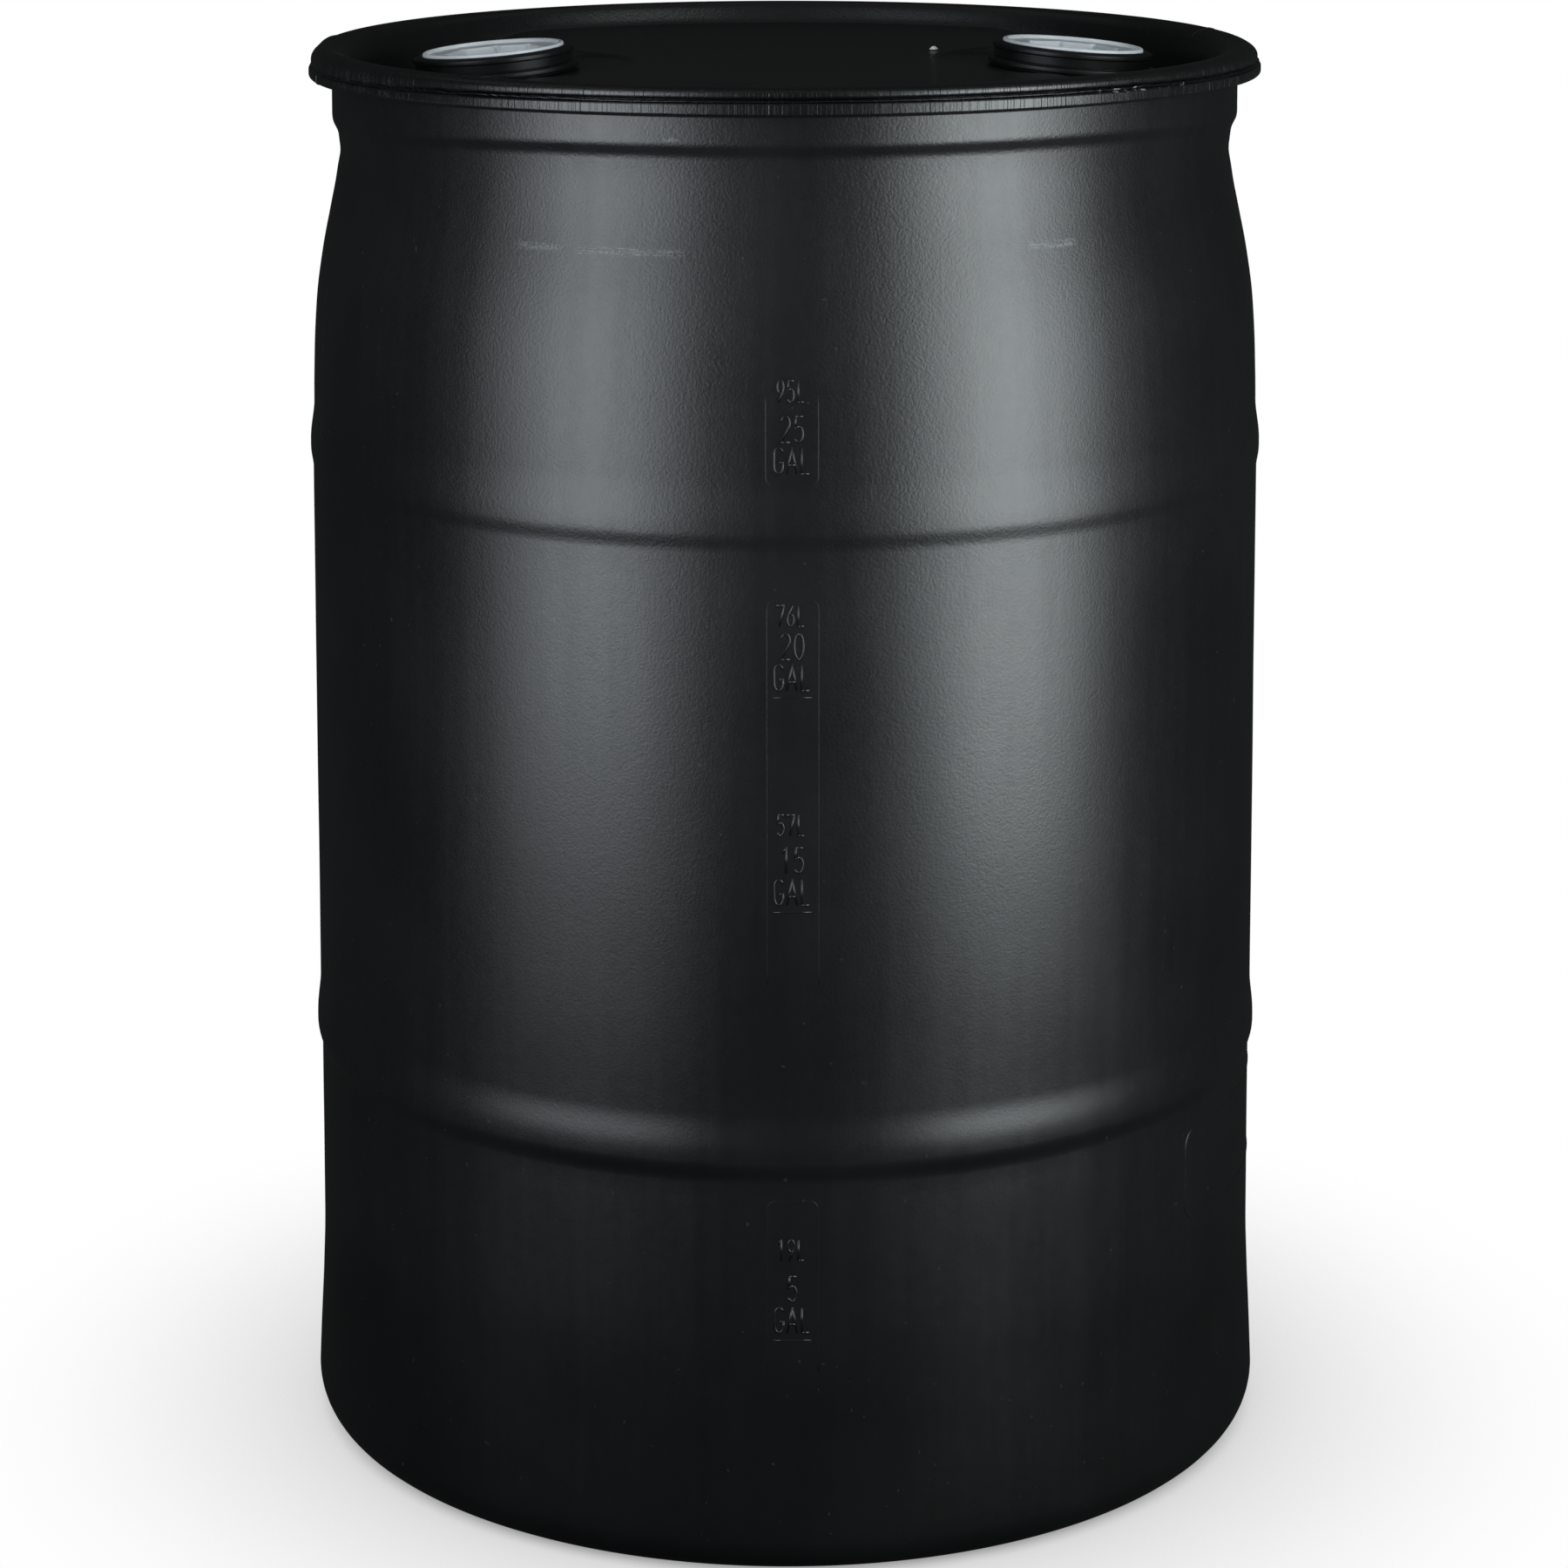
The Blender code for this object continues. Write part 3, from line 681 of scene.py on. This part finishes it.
def gasket(name, side):
    bore = {"buttress": 27.8, "pipe": 29.7}[name]
    phi = circle(120)
    prof = fillet([(bore + 1.4, 9.65), (bore + 1.4, 10.3), (35.6, 10.3), (35.6, 9.0), (bore + 1.4, 9.0),
                   (bore + 1.4, 9.64)], [0, 0.45, 0.45, 0.45, 0.45, 0], 4)[:-1]
    v, f = loft(rings_of(prof, phi), loop=True)
    obj = new_object(name + "_gasket_ring", v, f)
    obj.data.transform(axis_matrix(side))
    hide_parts(name + "_gasket")
    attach(obj, name + "_seal")
    return obj


necks = [neck(n, s) for n, s in SIDES.items()]
plugs = [plug(n, s) for n, s in SIDES.items()]
gaskets = [gasket(n, s) for n, s in SIDES.items()]


# ================================================================= materials
class Nodes:
    """A small builder for procedural materials."""

    def __init__(self, name):
        self.mat = bpy.data.materials.new(name)
        self.mat.use_nodes = True
        self.tree = self.mat.node_tree
        self.tree.nodes.clear()
        self.out = self.add("ShaderNodeOutputMaterial")
        self.bsdf = self.add("ShaderNodeBsdfPrincipled")
        self.link(self.bsdf.outputs[0], self.out.inputs["Surface"])
        self.coord = self.add("ShaderNodeTexCoord")

    def add(self, kind, **props):
        node = self.tree.nodes.new(kind)
        for k, v in props.items():
            setattr(node, k, v)
        return node

    def link(self, a, b):
        self.tree.links.new(a, b)

    def put(self, socket, value):
        if hasattr(value, "is_output") or isinstance(value, bpy.types.NodeSocket):
            self.link(value, socket)
        else:
            socket.default_value = value

    def math(self, op, a, b=0.0, c=0.0, clamp=False):
        n = self.add("ShaderNodeMath", operation=op, use_clamp=clamp)
        for s, v in zip(n.inputs, (a, b, c)):
            self.put(s, v)
        return n.outputs[0]

    def mapping(self, vector, scale):
        n = self.add("ShaderNodeMapping")
        self.link(vector, n.inputs["Vector"])
        n.inputs["Scale"].default_value = scale
        return n.outputs[0]

    def noise(self, vector, scale, detail=2.0, rough=0.5, distortion=0.0, dims='3D', w=0.0):
        n = self.add("ShaderNodeTexNoise", noise_dimensions=dims)
        if dims != '1D' and vector is not None:
            self.link(vector, n.inputs["Vector"])
        if dims in ('1D', '4D'):
            self.put(n.inputs["W"], w)
        n.inputs["Scale"].default_value = scale
        n.inputs["Detail"].default_value = detail
        n.inputs["Roughness"].default_value = rough
        n.inputs["Distortion"].default_value = distortion
        return n.outputs[0]

    def remap(self, value, a, b, c=0.0, d=1.0, smoothstep=True):
        n = self.add("ShaderNodeMapRange", interpolation_type='SMOOTHSTEP' if smoothstep else 'LINEAR')
        self.put(n.inputs[0], value)
        for s, v in zip(list(n.inputs)[1:5], (a, b, c, d)):
            self.put(s, v)
        return n.outputs[0]

    def mix(self, factor, a, b):
        n = self.add("ShaderNodeMix", data_type='RGBA')
        self.put(n.inputs[0], factor)
        self.put(n.inputs[6], a)
        self.put(n.inputs[7], b)
        return n.outputs[2]

    def bump(self, height, strength, distance, normal=None):
        n = self.add("ShaderNodeBump")
        n.inputs["Strength"].default_value = strength
        n.inputs["Distance"].default_value = distance
        self.link(height, n.inputs["Height"])
        if normal is not None:
            self.link(normal, n.inputs["Normal"])
        return n.outputs[0]

    def position(self):
        s = self.add("ShaderNodeSeparateXYZ")
        self.link(self.coord.outputs["Object"], s.inputs[0])
        return s.outputs


def polyethylene(name, grain=1.0):
    """Black blow-moulded polyethylene: fine peel, faint vertical drag lines, scuffs, dust."""
    m = Nodes(name)
    obj = m.coord.outputs["Object"]
    x, y, z = m.position()
    angle = m.math('ARCTAN2', y, x)                     # -pi..pi round the drum
    arc_mm = m.math('MULTIPLY', angle, 245.0)           # arc length in mm
    z_mm = m.math('MULTIPLY', z, 1000.0)
    flat = m.add("ShaderNodeCombineXYZ")
    m.link(arc_mm, flat.inputs[0])
    m.link(z_mm, flat.inputs[2])
    flat = flat.outputs[0]

    peel = m.noise(obj, 700.0, 3.0, 0.65)
    coarse = m.noise(obj, 210.0, 2.0, 0.5)
    broad = m.noise(obj, 9.0, 3.0, 0.55)
    streak = m.noise(m.mapping(flat, (1.6, 1.0, 0.012)), 1.0, 3.0, 0.6)
    wide_streak = m.noise(m.mapping(flat, (0.09, 1.0, 0.004)), 1.0, 3.0, 0.6)
    speck = m.noise(obj, 330.0, 1.0, 0.5)

    # pits and drag lines
    # the mould's blasting wears out downwards, so the peel does too
    worn = m.remap(z, 0.08, 0.62, 0.12, 0.88, False)
    peel = m.math('MULTIPLY', m.math('SUBTRACT', peel, 0.5), worn)
    n1 = m.bump(peel, 0.50 * grain, 0.00035)
    n2 = m.bump(coarse, 0.035 * grain, 0.0008, n1)
    n3 = m.bump(streak, 0.03 * grain, 0.0004, n2)

    # fine cracks and nicks across the rim's roll and band
    radius = m.math('SQRT', m.math('ADD', m.math('MULTIPLY', x, x), m.math('MULTIPLY', y, y)))
    rim = m.math('MULTIPLY', m.remap(z, 0.7015, 0.7030), m.remap(radius, 0.2345, 0.2365))
    nick_noise = m.noise(None, 1.0, 2.0, 0.7, dims='1D', w=m.math('MULTIPLY', arc_mm, 1.15))
    nick = m.remap(nick_noise, 0.60, 0.655)
    nick = m.math('MULTIPLY', nick, rim)
    nick_inv = m.math('SUBTRACT', 1.0, nick)
    n4 = m.bump(nick_inv, 0.55, 0.0006, n3)

    shine = m.remap(z, 0.075, 0.135, 0.27, 0.5)          # the skirt near the floor is duller
    m.put(m.bsdf.inputs["Specular IOR Level"], m.math('SUBTRACT', shine, m.math('MULTIPLY', nick, 0.42)))

    # horizontal handling scuffs under the shoulder
    scuff_line = m.noise(m.mapping(flat, (0.045, 1.0, 2.2)), 1.0, 4.0, 0.7, 0.4)
    zone = m.math('MULTIPLY', m.remap(z, 0.6335, 0.6350), m.remap(z, 0.6385, 0.6370))

    def span(low, high):
        """1 between two azimuths in degrees."""
        lo, hi = math.radians(low), math.radians(high)
        return m.math('MULTIPLY', m.remap(angle, lo, lo + 0.02), m.remap(angle, hi, hi - 0.02))

    where = m.math('MAXIMUM', span(-127.5, -120.5), m.math('MAXIMUM', span(-119.3, -105.3), span(-65.0, -57.3)))
    where = m.math('MAXIMUM', where, m.math('MAXIMUM', span(20.0, 41.0), span(96.0, 118.0)))
    scuff = m.math('MULTIPLY', m.math('MULTIPLY', zone, where), m.remap(scuff_line, 0.42, 0.60))
    mark = m.math('MULTIPLY', m.remap(z, 0.6885, 0.6890), m.remap(z, 0.6905, 0.6900))
    mark = m.math('MULTIPLY', m.math('MULTIPLY', mark, span(-108.4, -105.8)), 0.8)
    scuff = m.math('MAXIMUM', scuff, mark)
    dots = m.noise(obj, 900.0, 2.0, 0.6)
    scuff = m.math('MULTIPLY', scuff, m.remap(dots, 0.42, 0.54))
    hair = m.noise(m.mapping(flat, (0.03, 1.0, 1.1)), 1.0, 5.0, 0.75, 0.2)
    hair = m.math('MULTIPLY', m.remap(hair, 0.70, 0.78), 0.5)
    torn = m.math('MAXIMUM', span(-153.0, -138.0), span(-57.0, -41.0))
    torn = m.math('MULTIPLY', torn, m.math('MULTIPLY', m.remap(z, 0.7070, 0.7074), m.remap(radius, 0.2436, 0.2441)))
    torn = m.math('MULTIPLY', torn, m.remap(m.noise(obj, 260.0, 2.0, 0.6), 0.56, 0.64))
    rub = m.math('MAXIMUM', scuff, hair)

    dust = m.remap(broad, 0.35, 0.72)
    fleck = m.math('MULTIPLY', m.remap(speck, 0.765, 0.80), 0.5)
    base = m.mix(dust, (0.0042, 0.0044, 0.0045, 1), (0.0058, 0.0060, 0.0061, 1))
    base = m.mix(m.math('MULTIPLY', rub, 0.50), base, (0.16, 0.17, 0.175, 1))
    base = m.mix(m.math('MULTIPLY', fleck, 0.25), base, (0.10, 0.105, 0.11, 1))
    base = m.mix(m.math('MULTIPLY', torn, 0.8), base, (0.22, 0.225, 0.23, 1))
    dx = m.math('SUBTRACT', x, CRUMB[0] * MM)
    dy = m.math('SUBTRACT', y, CRUMB[1] * MM)
    off = m.math('SQRT', m.math('ADD', m.math('MULTIPLY', dx, dx), m.math('MULTIPLY', dy, dy)))
    crumb = m.math('MULTIPLY', m.remap(off, 0.0032, 0.0026), m.remap(z, 0.7045, 0.7048))
    base = m.mix(crumb, base, (0.62, 0.62, 0.60, 1))
    m.put(m.bsdf.inputs["Base Color"], base)

    rough = m.remap(broad, 0.3, 0.7, 0.305, 0.335, False)
    rough = m.math('ADD', rough, m.math('MULTIPLY', m.math('SUBTRACT', wide_streak, 0.5), 0.10))
    rough = m.math('ADD', rough, m.math('MULTIPLY', m.math('SUBTRACT', coarse, 0.5), 0.06))
    rough = m.math('SUBTRACT', rough, m.math('MULTIPLY', rim, 0.07))
    m.put(m.bsdf.inputs["Roughness"], rough)
    m.bsdf.inputs["IOR"].default_value = 1.51
    m.link(n4, m.bsdf.inputs["Normal"])
    return m.mat


def black_insert(name):
    """Injection-moulded black neck: smoother and glossier than the shell."""
    m = Nodes(name)
    obj = m.coord.outputs["Object"]
    fine = m.noise(obj, 900.0, 2.0, 0.5)
    soft = m.noise(obj, 60.0, 3.0, 0.6)
    n1 = m.bump(fine, 0.10, 0.0002)
    n2 = m.bump(soft, 0.10, 0.0012, n1)
    m.put(m.bsdf.inputs["Base Color"], m.mix(soft, (0.0030, 0.0031, 0.0032, 1), (0.0050, 0.0052, 0.0053, 1)))
    m.put(m.bsdf.inputs["Roughness"], m.remap(soft, 0.3, 0.7, 0.36, 0.46, False))
    m.bsdf.inputs["Specular IOR Level"].default_value = 0.38
    m.link(n2, m.bsdf.inputs["Normal"])
    return m.mat


def white_nylon(name):
    """Plug: satin off-white, slightly cool, faint flow marks, grime in blotches, and painted shade on the up-facing
    faces inside its rim.
    """
    m = Nodes(name)
    obj = m.coord.outputs["Object"]
    flow = m.noise(obj, 38.0, 4.0, 0.6, 0.6)
    fine = m.noise(obj, 1100.0, 2.0, 0.5)
    grime = m.noise(obj, 120.0, 4.0, 0.65)
    colour = m.mix(m.remap(flow, 0.3, 0.7), (0.69, 0.725, 0.75, 1), (0.78, 0.81, 0.83, 1))
    colour = m.mix(m.math('MULTIPLY', m.remap(grime, 0.62, 0.80), 0.35), colour, (0.40, 0.41, 0.38, 1))
    # painted shade inside the rim: a grey mixed in, most of all on the up-facing dish and the floor of the pocket
    xyz = m.add('ShaderNodeSeparateXYZ')
    m.link(obj, xyz.inputs[0])
    dx = m.math('SUBTRACT', m.math('ABSOLUTE', xyz.outputs[0]), BUNG_X * MM)
    r = m.math('SQRT', m.math('ADD', m.math('MULTIPLY', dx, dx), m.math('MULTIPLY', xyz.outputs[1], xyz.outputs[1])))
    inner = m.remap(r, 0.0341, 0.0346, 1.0, 0.0)
    up = m.add('ShaderNodeSeparateXYZ')
    m.link(m.add('ShaderNodeNewGeometry').outputs["Normal"], up.inputs[0])
    flat = m.remap(up.outputs[2], 0.80, 0.96)
    shade = m.math('MULTIPLY', inner, m.math('ADD', 0.32, m.math('MULTIPLY', flat, 0.26)))
    colour = m.mix(shade, colour, (0.25, 0.265, 0.275, 1))
    m.put(m.bsdf.inputs["Base Color"], colour)
    m.put(m.bsdf.inputs["Roughness"], m.remap(flow, 0.3, 0.7, 0.40, 0.52, False))
    m.bsdf.inputs["Subsurface Weight"].default_value = 0.12
    m.bsdf.inputs["Subsurface Radius"].default_value = (0.0016, 0.0014, 0.0012)
    m.bsdf.inputs["Subsurface Scale"].default_value = 1.0
    n1 = m.bump(fine, 0.08, 0.0002)
    n2 = m.bump(flow, 0.06, 0.0010, n1)
    m.link(n2, m.bsdf.inputs["Normal"])
    return m.mat


def foam(name):
    m = Nodes(name)
    obj = m.coord.outputs["Object"]
    cell = m.add("ShaderNodeTexVoronoi")
    m.link(obj, cell.inputs["Vector"])
    cell.inputs["Scale"].default_value = 1500.0
    soft = m.noise(obj, 90.0, 3.0, 0.6)
    m.put(m.bsdf.inputs["Base Color"], m.mix(soft, (0.56, 0.57, 0.56, 1), (0.68, 0.68, 0.66, 1)))
    m.bsdf.inputs["Roughness"].default_value = 0.72
    m.link(m.bump(cell.outputs["Distance"], 0.3, 0.0003), m.bsdf.inputs["Normal"])
    return m.mat


shell_mat = polyethylene("black_polyethylene_moulded")
line_mat = polyethylene("black_polyethylene_relief", 0.5)
neck_mat = black_insert("black_neck_moulded")
plug_mat = white_nylon("white_plug_moulded")
seal_mat = foam("pale_foam_seal")


def paint(objs, mat):
    for o in objs:
        o.data.materials.clear()
        o.data.materials.append(mat)


paint([shell], shell_mat)
paint([scale, parting, flash], line_mat)
paint(necks, neck_mat)
paint(plugs, plug_mat)
paint(gaskets, seal_mat)
for node, mat in (("drum_body", shell_mat), ("buttress_neck", neck_mat), ("pipe_neck", neck_mat),
                  ("buttress_plug", plug_mat), ("pipe_plug", plug_mat),
                  ("buttress_gasket", seal_mat), ("pipe_gasket", seal_mat)):
    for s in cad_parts[node].material_slots:
        s.material = mat

# ============================================================== floor, world
phi = circle(96)
v, f = loft(rings_of([(900.0, -0.6), (7000.0, -0.6)], phi), "fan")
floor = new_object("floor", v, f, False)
fm = Nodes("pale_floor_painted_shadow")
lp = fm.add("ShaderNodeLightPath")
fm.tree.nodes.remove(fm.bsdf)
# painted contact shadow: for camera rays the floor is a white glow, dimmed by ambient occlusion near the drum
occ = fm.add("ShaderNodeAmbientOcclusion", samples=12)
occ.inputs["Distance"].default_value = 0.22
shade = fm.remap(occ.outputs["AO"], 0.0, 0.96, 0.30, 1.0, False)
pale = fm.add("ShaderNodeEmission")
pale.inputs[0].default_value = (1.0, 1.0, 1.0, 1)
fm.link(shade, pale.inputs[1])
dim = fm.add("ShaderNodeBsdfDiffuse")
dim.inputs[0].default_value = (0.035, 0.035, 0.035, 1)
mixer = fm.add("ShaderNodeMixShader")
fm.link(lp.outputs["Is Camera Ray"], mixer.inputs[0])
fm.link(dim.outputs[0], mixer.inputs[1])
fm.link(pale.outputs[0], mixer.inputs[2])
fm.link(mixer.outputs[0], fm.out.inputs["Surface"])
paint([floor], fm.mat)
floor.visible_diffuse = floor.visible_glossy = floor.visible_shadow = False

world = bpy.data.worlds.new("studio")
bpy.context.scene.world = world
world.use_nodes = True
wt = world.node_tree
wt.nodes.clear()
wo = wt.nodes.new("ShaderNodeOutputWorld")
seen = wt.nodes.new("ShaderNodeBackground")
seen.inputs[0].default_value = (1, 1, 1, 1)
seen.inputs[1].default_value = 1.0
rest = wt.nodes.new("ShaderNodeBackground")
rest.inputs[0].default_value = (0.95, 0.98, 1, 1)
rest.inputs[1].default_value = 0.02
wmix = wt.nodes.new("ShaderNodeMixShader")
wlp = wt.nodes.new("ShaderNodeLightPath")
wt.links.new(wlp.outputs["Is Camera Ray"], wmix.inputs[0])
wt.links.new(rest.outputs[0], wmix.inputs[1])
wt.links.new(seen.outputs[0], wmix.inputs[2])
wt.links.new(wmix.outputs[0], wo.inputs["Surface"])

# ==================================================================== camera
cam_data = bpy.data.cameras.new("camera")
cam = bpy.data.objects.new("camera", cam_data)
bpy.context.scene.collection.objects.link(cam)
bpy.context.scene.camera = cam
cam_data.sensor_width = 36.0
cam_data.lens = 98.98
cam_data.clip_start, cam_data.clip_end = 0.05, 60.0
turn = Matrix.Rotation(math.radians(-4.0), 3, 'Z')
pitch_a, yaw, roll = 0.1086, -0.0068, -0.0013
fw = Vector((math.sin(yaw) * math.cos(pitch_a), math.cos(yaw) * math.cos(pitch_a), -math.sin(pitch_a)))
rt = Vector((math.cos(yaw), -math.sin(yaw), 0.0))
up = rt.cross(fw)
r2 = rt * math.cos(roll) + up * math.sin(roll)
u2 = up * math.cos(roll) - rt * math.sin(roll)
fw, r2, u2 = turn @ fw, turn @ r2, turn @ u2
place = turn @ Vector((0.0, -2.2216, 0.9267))
cam.matrix_world = Matrix(((r2.x, u2.x, -fw.x, place.x), (r2.y, u2.y, -fw.y, place.y),
                           (r2.z, u2.z, -fw.z, place.z), (0, 0, 0, 1)))
# The lens is shifted, as on a studio camera. Seen from anywhere else it isn't.
for prop, value in (("shift_x", 0.01839), ("shift_y", -0.4375)):
    setattr(cam_data, prop, value)
    d = cam_data.driver_add(prop).driver
    d.type = 'SCRIPTED'
    for k, axis in (("px", 'LOC_X'), ("py", 'LOC_Y'), ("pz", 'LOC_Z')):
        var = d.variables.new()
        var.name, var.type = k, 'TRANSFORMS'
        var.targets[0].id = cam
        var.targets[0].transform_type = axis
        var.targets[0].transform_space = 'WORLD_SPACE'
    d.expression = (f"{value} if abs(px - {place.x:.5f}) + abs(py - {place.y:.5f}) + "
                    f"abs(pz - {place.z:.5f}) < 0.01 else 0.0")

# ==================================================================== lights
# The lamps stand round the camera's line of sight, as when the drum is turned
# on a table: an empty keeps facing the camera, and they ride on it.
rig = bpy.data.objects.new("lamp_rig", None)
bpy.context.scene.collection.objects.link(rig)
face = rig.constraints.new('LOCKED_TRACK')
face.target, face.track_axis, face.lock_axis = cam, 'TRACK_NEGATIVE_Y', 'LOCK_Z'


def softbox(name, azimuth, distance, height, width, tall, radiance, colour=(1, 1, 1), aim=0.35):
    """azimuth in degrees to the right of the camera, seen from the drum."""
    data = bpy.data.lights.new(name, 'AREA')
    data.shape, data.size, data.size_y = 'RECTANGLE', width, tall
    data.energy = radiance * math.pi * width * tall
    data.color = colour
    obj = bpy.data.objects.new(name, data)
    bpy.context.scene.collection.objects.link(obj)
    a = math.radians(azimuth)
    pos = Vector((distance * math.sin(a), -distance * math.cos(a), height))
    obj.matrix_world = Matrix.Translation(pos) @ (pos - Vector((0, 0, aim))).to_track_quat('Z', 'Y').to_matrix().to_4x4()
    obj.parent = rig
    obj.visible_camera = False
    return obj


# a core and a wider, weaker sheet each side, so that a highlight fades softly
softbox("key_right_core", 48.0, 1.15, 0.575, 0.40, 0.91, 4.0, (0.93, 1.0, 1.02), 0.575)
softbox("key_right_wide", 49.0, 1.16, 0.595, 0.88, 1.03, 4.3, (0.93, 1.0, 1.02), 0.595)
softbox("key_right_high", 48.0, 1.15, 1.50, 0.80, 0.76, 2.0, (0.93, 1.0, 1.02), 0.80)
softbox("fill_left_core", -40.5, 1.15, 0.61, 0.42, 0.86, 2.75, (0.93, 0.99, 1.04), 0.61)
softbox("fill_left_wide", -43.0, 1.16, 0.60, 0.88, 1.03, 2.7, (0.93, 0.99, 1.04), 0.60)
softbox("fill_left_high", -42.0, 1.15, 1.50, 0.80, 0.76, 1.3, (0.93, 0.99, 1.04), 0.80)
softbox("ceiling", 0.0, 0.01, 2.50, 3.20, 3.20, 0.12, (0.96, 1.0, 1.02), 0.6)

scene = bpy.context.scene
scene.view_settings.view_transform = 'Standard'
scene.view_settings.look = 'None'
scene.view_settings.exposure = 0.0
scene.view_settings.gamma = 1.0
